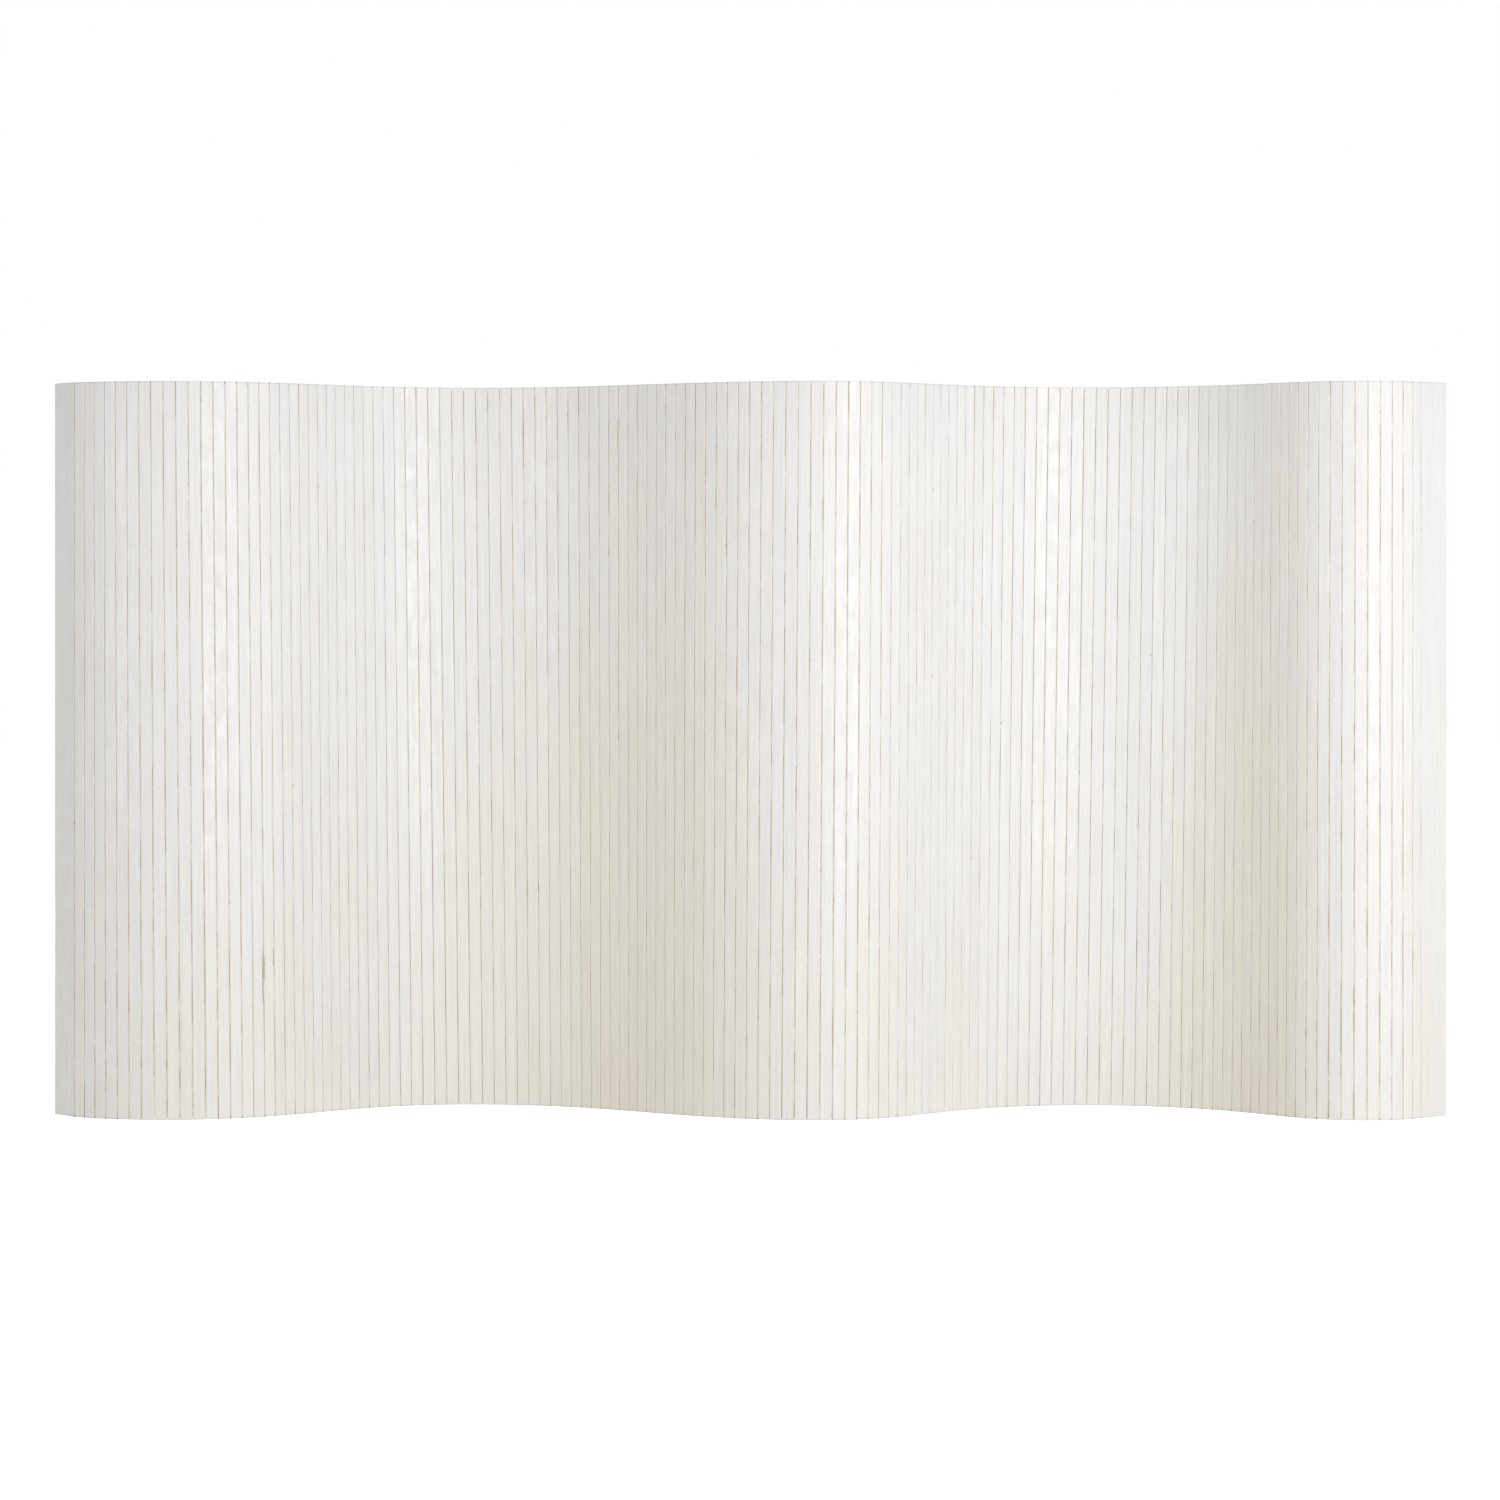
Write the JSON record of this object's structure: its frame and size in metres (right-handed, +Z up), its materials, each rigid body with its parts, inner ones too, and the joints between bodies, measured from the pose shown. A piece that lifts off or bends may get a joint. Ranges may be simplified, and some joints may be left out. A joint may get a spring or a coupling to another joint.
{
  "type": "tambour screen",
  "caption": "Free-standing roll-up screen of narrow upright white wooden slats on a canvas back, with a wide stile at each end, standing in a serpentine wave.",
  "frame": {"origin": "on the floor, under the middle of the standing screen's plan box", "axes": "+X along the screen from the left stile to the right one, +Y to the canvas side at the back, +Z up; the slatted face looks to -Y"},
  "size_m": [2.8541, 0.3648, 1.5],
  "materials": {
    "white_paint": "semi-gloss white paint on wood, worn along the edges",
    "canvas": "plain-woven unbleached cotton canvas, matt",
    "bare_pine": "bare planed pine, satin",
    "screw_steel": "zinc-plated steel, satin"
  },
  "bodies": {
    "stile_left": {"stile_left": "white_paint", "batten_left": "bare_pine", "screws_left": "screw_steel"},
    "slats_01": {"slats_01": "white_paint"},
    "slats_02": {"slats_02": "white_paint"},
    "slats_03": {"slats_03": "white_paint"},
    "slats_04": {"slats_04": "white_paint"},
    "slats_05": {"slats_05": "white_paint"},
    "slats_06": {"slats_06": "white_paint"},
    "slats_07": {"slats_07": "white_paint"},
    "slats_08": {"slats_08": "white_paint"},
    "slats_09": {"slats_09": "white_paint"},
    "slats_10": {"slats_10": "white_paint"},
    "slats_11": {"slats_11": "white_paint"},
    "slats_12": {"slats_12": "white_paint"},
    "slats_13": {"slats_13": "white_paint"},
    "slats_14": {"slats_14": "white_paint"},
    "slats_15": {"slats_15": "white_paint"},
    "slats_16": {"slats_16": "white_paint"},
    "slats_17": {"slats_17": "white_paint"},
    "slats_18": {"slats_18": "white_paint"},
    "slats_19": {"slats_19": "white_paint"},
    "slats_20": {"slats_20": "white_paint"},
    "slats_21": {"slats_21": "white_paint"},
    "slats_22": {"slats_22": "white_paint"},
    "slats_23": {"slats_23": "white_paint"},
    "slats_24": {"slats_24": "white_paint", "canvas": "canvas"},
    "slats_25": {"slats_25": "white_paint"},
    "slats_26": {"slats_26": "white_paint"},
    "slats_27": {"slats_27": "white_paint"},
    "slats_28": {"slats_28": "white_paint"},
    "slats_29": {"slats_29": "white_paint"},
    "slats_30": {"slats_30": "white_paint"},
    "slats_31": {"slats_31": "white_paint"},
    "slats_32": {"slats_32": "white_paint"},
    "slats_33": {"slats_33": "white_paint"},
    "slats_34": {"slats_34": "white_paint"},
    "slats_35": {"slats_35": "white_paint"},
    "slats_36": {"slats_36": "white_paint"},
    "slats_37": {"slats_37": "white_paint"},
    "slats_38": {"slats_38": "white_paint"},
    "slats_39": {"slats_39": "white_paint"},
    "slats_40": {"slats_40": "white_paint"},
    "slats_41": {"slats_41": "white_paint"},
    "slats_42": {"slats_42": "white_paint"},
    "slats_43": {"slats_43": "white_paint"},
    "stile_right": {"stile_right": "white_paint", "batten_right": "bare_pine", "screws_right": "screw_steel"}
  },
  "joints": [
    {"name": "bend_3_middle", "type": "hinge", "parent": "slats_24", "child": "slats_25", "pos_m": [0.1712, -0.16833, 0], "axis": [0, 0, 1], "range_deg": [-18.78, 14.08], "deforming": ["canvas"]},
    {"name": "joint_slats_23_to_slats_24", "type": "hinge", "parent": "slats_24", "child": "slats_23", "pos_m": [0.09525, -0.16907, 0], "axis": [0, 0, -1], "range_deg": [-15, 11.25], "deforming": ["canvas"]},
    {"name": "joint_slats_25_to_slats_26", "type": "hinge", "parent": "slats_25", "child": "slats_26", "pos_m": [0.24276, -0.14321, 0], "axis": [0, 0, 1], "range_deg": [-18.09, 13.56], "deforming": ["canvas"]},
    {"name": "joint_slats_22_to_slats_23", "type": "hinge", "parent": "slats_23", "child": "slats_22", "pos_m": [0.0216, -0.1501, 0], "axis": [0, 0, -1], "range_deg": [-11.22, 8.42], "deforming": ["canvas"]},
    {"name": "joint_slats_26_to_slats_27", "type": "hinge", "parent": "slats_26", "child": "slats_27", "pos_m": [0.30313, -0.09701, 0], "axis": [0, 0, 1], "range_deg": [-10.24, 7.68], "deforming": ["canvas"]},
    {"name": "joint_slats_21_to_slats_22", "type": "hinge", "parent": "slats_22", "child": "slats_21", "pos_m": [-0.04701, -0.11714, 0], "axis": [0, 0, -1], "range_deg": [-7.76, 5.82], "deforming": ["canvas"]},
    {"name": "joint_slats_27_to_slats_28", "type": "hinge", "parent": "slats_27", "child": "slats_28", "pos_m": [0.35443, -0.04071, 0], "axis": [0, 0, 1], "range_deg": [-1.94, 1.45], "deforming": ["canvas"]},
    {"name": "joint_slats_20_to_slats_21", "type": "hinge", "parent": "slats_21", "child": "slats_20", "pos_m": [-0.11059, -0.07519, 0], "axis": [0, 0, -1], "range_deg": [-4.81, 3.6], "deforming": ["canvas"]},
    {"name": "joint_slats_28_to_slats_29", "type": "hinge", "parent": "slats_28", "child": "slats_29", "pos_m": [0.40382, 0.01731, 0], "axis": [0, 0, -1], "range_deg": [-4.77, 3.58], "deforming": ["canvas"]},
    {"name": "joint_slats_19_to_slats_20", "type": "hinge", "parent": "slats_20", "child": "slats_19", "pos_m": [-0.17045, -0.02806, 0], "axis": [0, 0, -1], "range_deg": [-1.87, 1.41], "deforming": ["canvas"]},
    {"name": "joint_slats_29_to_slats_30", "type": "hinge", "parent": "slats_29", "child": "slats_30", "pos_m": [0.45784, 0.071, 0], "axis": [0, 0, -1], "range_deg": [-8.92, 6.69], "deforming": ["canvas"]},
    {"name": "joint_slats_18_to_slats_19", "type": "hinge", "parent": "slats_19", "child": "slats_18", "pos_m": [-0.22875, 0.02101, 0], "axis": [0, 0, 1], "range_deg": [-1.17, 0.88], "deforming": ["canvas"]},
    {"name": "joint_slats_30_to_slats_31", "type": "hinge", "parent": "slats_30", "child": "slats_31", "pos_m": [0.51948, 0.11563, 0], "axis": [0, 0, -1], "range_deg": [-12.24, 9.18], "deforming": ["canvas"]},
    {"name": "joint_slats_17_to_slats_18", "type": "hinge", "parent": "slats_18", "child": "slats_17", "pos_m": [-0.28803, 0.06888, 0], "axis": [0, 0, 1], "range_deg": [-4.27, 3.2], "deforming": ["canvas"]},
    {"name": "bend_4", "type": "hinge", "parent": "slats_31", "child": "slats_32", "pos_m": [0.58914, 0.14617, 0], "axis": [0, 0, -1], "range_deg": [-12.38, 9.28], "deforming": ["canvas"]},
    {"name": "joint_slats_16_to_slats_17", "type": "hinge", "parent": "slats_17", "child": "slats_16", "pos_m": [-0.35069, 0.11219, 0], "axis": [0, 0, 1], "range_deg": [-7.31, 5.48], "deforming": ["canvas"]},
    {"name": "joint_slats_32_to_slats_33", "type": "hinge", "parent": "slats_32", "child": "slats_33", "pos_m": [0.66373, 0.16108, 0], "axis": [0, 0, -1], "range_deg": [-11.86, 8.89], "deforming": ["canvas"]},
    {"name": "joint_slats_15_to_slats_16", "type": "hinge", "parent": "slats_16", "child": "slats_15", "pos_m": [-0.41831, 0.14717, 0], "axis": [0, 0, 1], "range_deg": [-9.25, 6.93], "deforming": ["canvas"]},
    {"name": "joint_slats_33_to_slats_34", "type": "hinge", "parent": "slats_33", "child": "slats_34", "pos_m": [0.73982, 0.16033, 0], "axis": [0, 0, -1], "range_deg": [-11.34, 8.5], "deforming": ["canvas"]},
    {"name": "joint_slats_14_to_slats_15", "type": "hinge", "parent": "slats_15", "child": "slats_14", "pos_m": [-0.49066, 0.17083, 0], "axis": [0, 0, 1], "range_deg": [-10.51, 7.88], "deforming": ["canvas"]},
    {"name": "joint_slats_34_to_slats_35", "type": "hinge", "parent": "slats_34", "child": "slats_35", "pos_m": [0.81428, 0.14465, 0], "axis": [0, 0, -1], "range_deg": [-10.82, 8.11], "deforming": ["canvas"]},
    {"name": "joint_slats_13_to_slats_14", "type": "hinge", "parent": "slats_14", "child": "slats_13", "pos_m": [-0.56608, 0.18091, 0], "axis": [0, 0, 1], "range_deg": [-11.77, 8.82], "deforming": ["canvas"]},
    {"name": "joint_slats_35_to_slats_36", "type": "hinge", "parent": "slats_35", "child": "slats_36", "pos_m": [0.88448, 0.11526, 0], "axis": [0, 0, -1], "range_deg": [-10.3, 7.72], "deforming": ["canvas"]},
    {"name": "joint_slats_12_to_slats_13", "type": "hinge", "parent": "slats_13", "child": "slats_12", "pos_m": [-0.64195, 0.17541, 0], "axis": [0, 0, 1], "range_deg": [-13.03, 9.77], "deforming": ["canvas"]},
    {"name": "joint_slats_36_to_slats_37", "type": "hinge", "parent": "slats_36", "child": "slats_37", "pos_m": [0.94831, 0.0738, 0], "axis": [0, 0, -1], "range_deg": [-9.63, 7.22], "deforming": ["canvas"]},
    {"name": "bend_2", "type": "hinge", "parent": "slats_12", "child": "slats_11", "pos_m": [-0.7146, 0.15297, 0], "axis": [0, 0, 1], "range_deg": [-14.02, 10.51], "deforming": ["canvas"]},
    {"name": "joint_slats_37_to_slats_38", "type": "hinge", "parent": "slats_37", "child": "slats_38", "pos_m": [1.00432, 0.02224, 0], "axis": [0, 0, -1], "range_deg": [-6.61, 4.95], "deforming": ["canvas"]},
    {"name": "joint_slats_10_to_slats_11", "type": "hinge", "parent": "slats_11", "child": "slats_10", "pos_m": [-0.77965, 0.1136, 0], "axis": [0, 0, 1], "range_deg": [-10.81, 8.1], "deforming": ["canvas"]},
    {"name": "joint_slats_38_to_slats_39", "type": "hinge", "parent": "slats_38", "child": "slats_39", "pos_m": [1.05407, -0.03546, 0], "axis": [0, 0, -1], "range_deg": [-1.81, 1.35], "deforming": ["canvas"]},
    {"name": "joint_slats_09_to_slats_10", "type": "hinge", "parent": "slats_10", "child": "slats_09", "pos_m": [-0.83626, 0.06266, 0], "axis": [0, 0, 1], "range_deg": [-4.96, 3.72], "deforming": ["canvas"]},
    {"name": "joint_slats_39_to_slats_40", "type": "hinge", "parent": "slats_39", "child": "slats_40", "pos_m": [1.10198, -0.09471, 0], "axis": [0, 0, 1], "range_deg": [-7.8, 5.85], "deforming": ["canvas"]},
    {"name": "joint_slats_08_to_slats_09", "type": "hinge", "parent": "slats_09", "child": "slats_08", "pos_m": [-0.88829, 0.007, 0], "axis": [0, 0, -1], "range_deg": [-0.69, 0.52], "deforming": ["canvas"]},
    {"name": "joint_slats_40_to_slats_41", "type": "hinge", "parent": "slats_40", "child": "slats_41", "pos_m": [1.15737, -0.14678, 0], "axis": [0, 0, 1], "range_deg": [-20.4, 15.3], "deforming": ["canvas"]},
    {"name": "joint_slats_07_to_slats_08", "type": "hinge", "parent": "slats_08", "child": "slats_07", "pos_m": [-0.94098, -0.04804, 0], "axis": [0, 0, -1], "range_deg": [-5.32, 3.99], "deforming": ["canvas"]},
    {"name": "joint_slats_41_to_slats_42", "type": "hinge", "parent": "slats_41", "child": "slats_42", "pos_m": [1.22704, -0.17612, 0], "axis": [0, 0, 1], "range_deg": [-28.34, 21.26], "deforming": ["canvas"]},
    {"name": "joint_slats_06_to_slats_07", "type": "hinge", "parent": "slats_07", "child": "slats_06", "pos_m": [-0.9985, -0.09793, 0], "axis": [0, 0, -1], "range_deg": [-9.73, 7.29], "deforming": ["canvas"]},
    {"name": "bend_5_right_end", "type": "hinge", "parent": "slats_42", "child": "slats_43", "pos_m": [1.30218, -0.16888, 0], "axis": [0, 0, 1], "range_deg": [-28.8, 21.6], "deforming": ["canvas"]},
    {"name": "joint_slats_05_to_slats_06", "type": "hinge", "parent": "slats_06", "child": "slats_05", "pos_m": [-1.06357, -0.13736, 0], "axis": [0, 0, -1], "range_deg": [-13.95, 10.46], "deforming": ["canvas"]},
    {"name": "joint_slats_43_to_stile_right", "type": "hinge", "parent": "slats_43", "child": "stile_right", "pos_m": [1.36454, -0.12634, 0], "axis": [0, 0, 1], "range_deg": [-10.61, 7.96], "deforming": ["canvas"]},
    {"name": "bend_1_left_end", "type": "hinge", "parent": "slats_05", "child": "slats_04", "pos_m": [-1.13613, -0.15993, 0], "axis": [0, 0, -1], "range_deg": [-15.15, 11.36], "deforming": ["canvas"]},
    {"name": "joint_slats_03_to_slats_04", "type": "hinge", "parent": "slats_04", "child": "slats_03", "pos_m": [-1.21209, -0.16275, 0], "axis": [0, 0, -1], "range_deg": [-14.48, 10.86], "deforming": ["canvas"]},
    {"name": "joint_slats_02_to_slats_03", "type": "hinge", "parent": "slats_03", "child": "slats_02", "pos_m": [-1.28636, -0.14649, 0], "axis": [0, 0, -1], "range_deg": [-13.81, 10.35], "deforming": ["canvas"]},
    {"name": "joint_slats_01_to_slats_02", "type": "hinge", "parent": "slats_02", "child": "slats_01", "pos_m": [-1.35462, -0.11297, 0], "axis": [0, 0, -1], "range_deg": [-8.86, 6.64], "deforming": ["canvas"]},
    {"name": "joint_stile_left_to_slats_01", "type": "hinge", "parent": "slats_01", "child": "stile_left", "pos_m": [-1.37543, -0.0984, 0], "axis": [0, 0, -1], "range_deg": [-20, 15], "deforming": ["canvas"]}
  ],
  "couplings": [
    {"joint": "joint_stile_left_to_slats_01", "follows": "bend_1_left_end", "ratio": 1.3201},
    {"joint": "joint_slats_01_to_slats_02", "follows": "bend_1_left_end", "ratio": 0.5842},
    {"joint": "joint_slats_02_to_slats_03", "follows": "bend_1_left_end", "ratio": 0.9109},
    {"joint": "joint_slats_03_to_slats_04", "follows": "bend_1_left_end", "ratio": 0.9554},
    {"joint": "joint_slats_05_to_slats_06", "follows": "bend_1_left_end", "ratio": 0.9202},
    {"joint": "joint_slats_06_to_slats_07", "follows": "bend_1_left_end", "ratio": 0.6416},
    {"joint": "joint_slats_07_to_slats_08", "follows": "bend_1_left_end", "ratio": 0.3505},
    {"joint": "joint_slats_08_to_slats_09", "follows": "bend_1_left_end", "ratio": 0.0453},
    {"joint": "joint_slats_09_to_slats_10", "follows": "bend_2", "ratio": 0.3532},
    {"joint": "joint_slats_10_to_slats_11", "follows": "bend_2", "ratio": 0.7705},
    {"joint": "joint_slats_12_to_slats_13", "follows": "bend_2", "ratio": 0.9289},
    {"joint": "joint_slats_13_to_slats_14", "follows": "bend_2", "ratio": 0.839},
    {"joint": "joint_slats_14_to_slats_15", "follows": "bend_2", "ratio": 0.7491},
    {"joint": "joint_slats_15_to_slats_16", "follows": "bend_2", "ratio": 0.6592},
    {"joint": "joint_slats_16_to_slats_17", "follows": "bend_2", "ratio": 0.5207},
    {"joint": "joint_slats_17_to_slats_18", "follows": "bend_2", "ratio": 0.3044},
    {"joint": "joint_slats_18_to_slats_19", "follows": "bend_2", "ratio": 0.0832},
    {"joint": "joint_slats_19_to_slats_20", "follows": "bend_3_middle", "ratio": 0.0995},
    {"joint": "joint_slats_20_to_slats_21", "follows": "bend_3_middle", "ratio": 0.2556},
    {"joint": "joint_slats_21_to_slats_22", "follows": "bend_3_middle", "ratio": 0.413},
    {"joint": "joint_slats_22_to_slats_23", "follows": "bend_3_middle", "ratio": 0.5974},
    {"joint": "joint_slats_23_to_slats_24", "follows": "bend_3_middle", "ratio": 0.7987},
    {"joint": "joint_slats_25_to_slats_26", "follows": "bend_3_middle", "ratio": 0.963},
    {"joint": "joint_slats_26_to_slats_27", "follows": "bend_3_middle", "ratio": 0.5449},
    {"joint": "joint_slats_27_to_slats_28", "follows": "bend_3_middle", "ratio": 0.1029},
    {"joint": "joint_slats_28_to_slats_29", "follows": "bend_4", "ratio": 0.3852},
    {"joint": "joint_slats_29_to_slats_30", "follows": "bend_4", "ratio": 0.7201},
    {"joint": "joint_slats_30_to_slats_31", "follows": "bend_4", "ratio": 0.9882},
    {"joint": "joint_slats_32_to_slats_33", "follows": "bend_4", "ratio": 0.9579},
    {"joint": "joint_slats_33_to_slats_34", "follows": "bend_4", "ratio": 0.9158},
    {"joint": "joint_slats_34_to_slats_35", "follows": "bend_4", "ratio": 0.8737},
    {"joint": "joint_slats_35_to_slats_36", "follows": "bend_4", "ratio": 0.8316},
    {"joint": "joint_slats_36_to_slats_37", "follows": "bend_4", "ratio": 0.7776},
    {"joint": "joint_slats_37_to_slats_38", "follows": "bend_4", "ratio": 0.5332},
    {"joint": "joint_slats_38_to_slats_39", "follows": "bend_4", "ratio": 0.1454},
    {"joint": "joint_slats_39_to_slats_40", "follows": "bend_5_right_end", "ratio": 0.2708},
    {"joint": "joint_slats_40_to_slats_41", "follows": "bend_5_right_end", "ratio": 0.7083},
    {"joint": "joint_slats_41_to_slats_42", "follows": "bend_5_right_end", "ratio": 0.9838},
    {"joint": "joint_slats_43_to_stile_right", "follows": "bend_5_right_end", "ratio": 0.3681}
  ]
}
